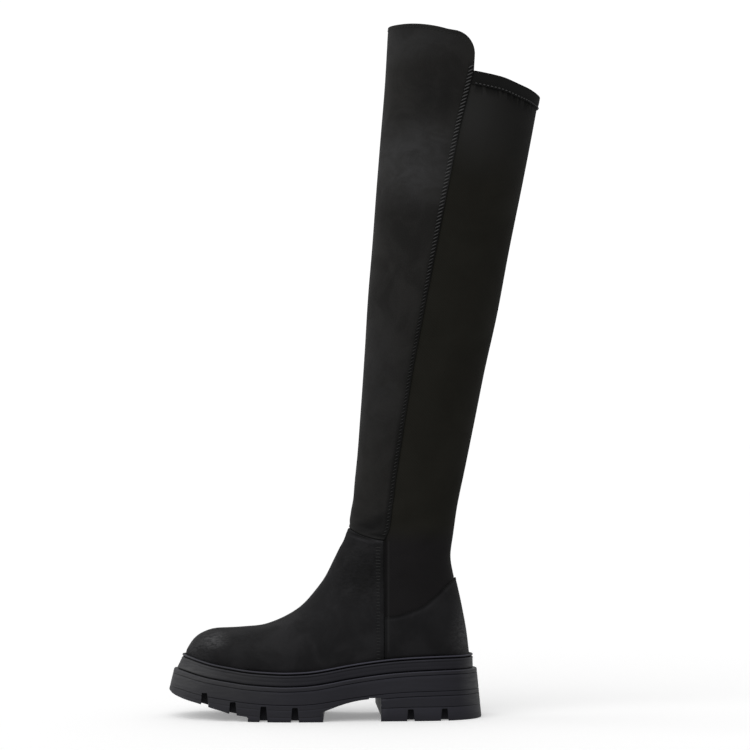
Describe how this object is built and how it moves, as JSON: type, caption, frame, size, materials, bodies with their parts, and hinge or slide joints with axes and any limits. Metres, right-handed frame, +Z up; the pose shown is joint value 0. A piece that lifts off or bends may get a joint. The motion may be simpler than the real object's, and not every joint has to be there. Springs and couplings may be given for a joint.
{
  "type": "thigh high boot",
  "caption": "Tall left boot with a fitted shaft, a stretch back panel, a raised front flap at the collar and a thick lugged platform sole.",
  "frame": {"origin": "on the tread, under the middle of the heel, at floor level", "axes": "+Z up, the shaft's direction; the toe points along -X; the outer side of the left foot faces -Y"},
  "size_m": [0.3263, 0.1162, 0.6058],
  "materials": {
    "rubber": "matte moulded black rubber",
    "lining": "black textile footbed cover",
    "stretch_fabric": "matte black stretch fabric, plain lining inside",
    "vamp_leather": "black brushed leather, burnished paler at the toe and heel",
    "shaft_suede": "smooth black suede with a fine nap"
  },
  "bodies": {
    "root": {"outsole": "rubber", "midsole": "rubber", "welt": "rubber", "insole": "lining", "upper": "stretch_fabric", "vamp": "vamp_leather", "counter": "vamp_leather", "shaft_front": "shaft_suede", "collar_hem": "stretch_fabric"}
  },
  "joints": []
}
